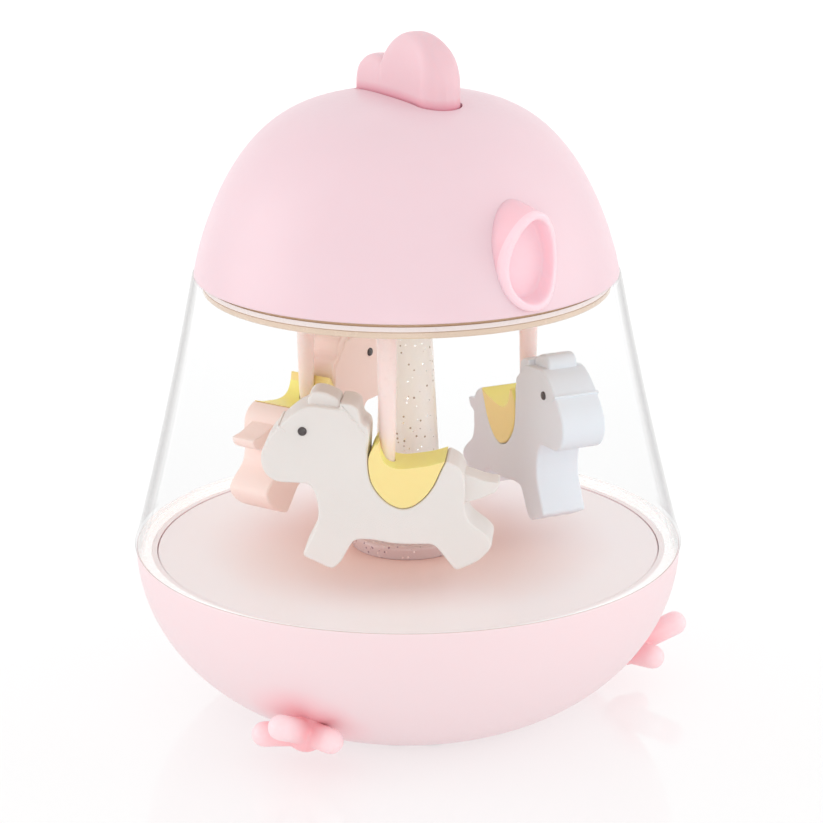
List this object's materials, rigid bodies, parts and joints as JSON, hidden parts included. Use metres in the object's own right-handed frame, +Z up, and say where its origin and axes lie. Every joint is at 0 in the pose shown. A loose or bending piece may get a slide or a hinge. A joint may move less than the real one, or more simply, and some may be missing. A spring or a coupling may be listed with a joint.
{
  "type": "carousel music box",
  "caption": "Chick-shaped carousel music box: bowl base, clear shell, turning carousel of flat horses on tapered poles around a glitter column, domed head whose comb is a push button.",
  "frame": {"origin": "on the table surface under the centre of the body", "axes": "+Z up, the beak points to -Y, +X to the right seen from the front"},
  "size_m": [0.1202, 0.1202, 0.1485],
  "materials": {
    "shell_pink": "satin",
    "deep_pink": "satin",
    "steel": "satin",
    "magnet": "satin",
    "nylon": "matte",
    "cell_wrap": "glossy",
    "rubber": "matte",
    "board_green": "satin",
    "dark_plastic": "matte",
    "speaker_paper": "matte",
    "led": "glossy",
    "wire": "matte",
    "glitter": "glossy with glitter specks",
    "brass": "polished",
    "clear": "clear gloss, a clear plastic",
    "pole_pink": "glossy, slightly translucent",
    "horse_white": "satin",
    "horse_blue": "satin",
    "horse_pink": "satin",
    "saddle_yellow": "satin",
    "eye_black": "glossy"
  },
  "bodies": {
    "base": {"base_bowl": "shell_pink", "battery_door": "shell_pink", "door_screws": "steel", "battery_box": "nylon", "batteries": "cell_wrap", "battery_contacts": "steel", "rubber_pads": "rubber", "base_screws": "steel", "left_foot": "deep_pink", "right_foot": "deep_pink", "floor_plate": "shell_pink", "main_board": "board_green", "board_parts": "dark_plastic", "speaker_frame": "steel", "speaker_cone": "speaker_paper", "speaker_magnet": "magnet", "power_switch": "dark_plastic", "led_board": "nylon", "leds": "led", "wire_harness": "wire", "column_collar": "glitter", "column_tube": "glitter", "column_nut": "steel", "thrust_washer": "brass", "clear_shell": "clear", "head_chassis": "shell_pink", "gear_deck": "nylon", "head_screws": "steel", "idler_pin": "steel", "gear_motor": "steel", "switch_board": "board_green", "push_switch": "dark_plastic", "comb_guide": "nylon", "comb_spring": "steel", "head_shell": "shell_pink", "beak": "deep_pink"},
    "carousel": {"carousel_disc": "shell_pink", "hub_bush": "brass", "rotor_gear": "nylon", "white_pole": "pole_pink", "blue_pole": "pole_pink", "pink_pole": "pole_pink", "white_horse": "horse_white", "blue_horse": "horse_blue", "pink_horse": "horse_pink", "white_saddle": "saddle_yellow", "blue_saddle": "saddle_yellow", "pink_saddle": "saddle_yellow", "horse_eyes": "eye_black"},
    "comb": {"comb_button": "deep_pink", "switch_plunger": "nylon"},
    "idler": {"idler_gear": "nylon"},
    "motor_drive": {"motor_pinion": "nylon", "motor_shaft": "steel"},
    "power_knob": {"switch_knob": "nylon"}
  },
  "joints": [
    {"name": "carousel_spin", "type": "hinge", "parent": "base", "child": "carousel", "pos_m": [0, 0, 0.0963], "axis": [0, 0, 1], "continuous": true},
    {"name": "idler_spin", "type": "hinge", "parent": "base", "child": "idler", "pos_m": [0, 0.021, 0.1], "axis": [0, 0, 1], "continuous": true},
    {"name": "motor_spin", "type": "hinge", "parent": "base", "child": "motor_drive", "pos_m": [-0.01212, 0.014, 0.1], "axis": [0, 0, 1], "continuous": true},
    {"name": "comb_press", "type": "slide", "parent": "base", "child": "comb", "axis": [0, 0, -1], "range_m": [0, 0.0015], "stiffness_N_per_m": 300, "springref_m": -0.001, "deforming": ["comb_spring"]},
    {"name": "power_slide", "type": "slide", "parent": "base", "child": "power_knob", "axis": [1, 0, 0], "range_m": [0, 0.004]}
  ],
  "couplings": [
    {"joint": "idler_spin", "follows": "carousel_spin", "ratio": -5},
    {"joint": "motor_spin", "follows": "carousel_spin", "ratio": 15}
  ]
}
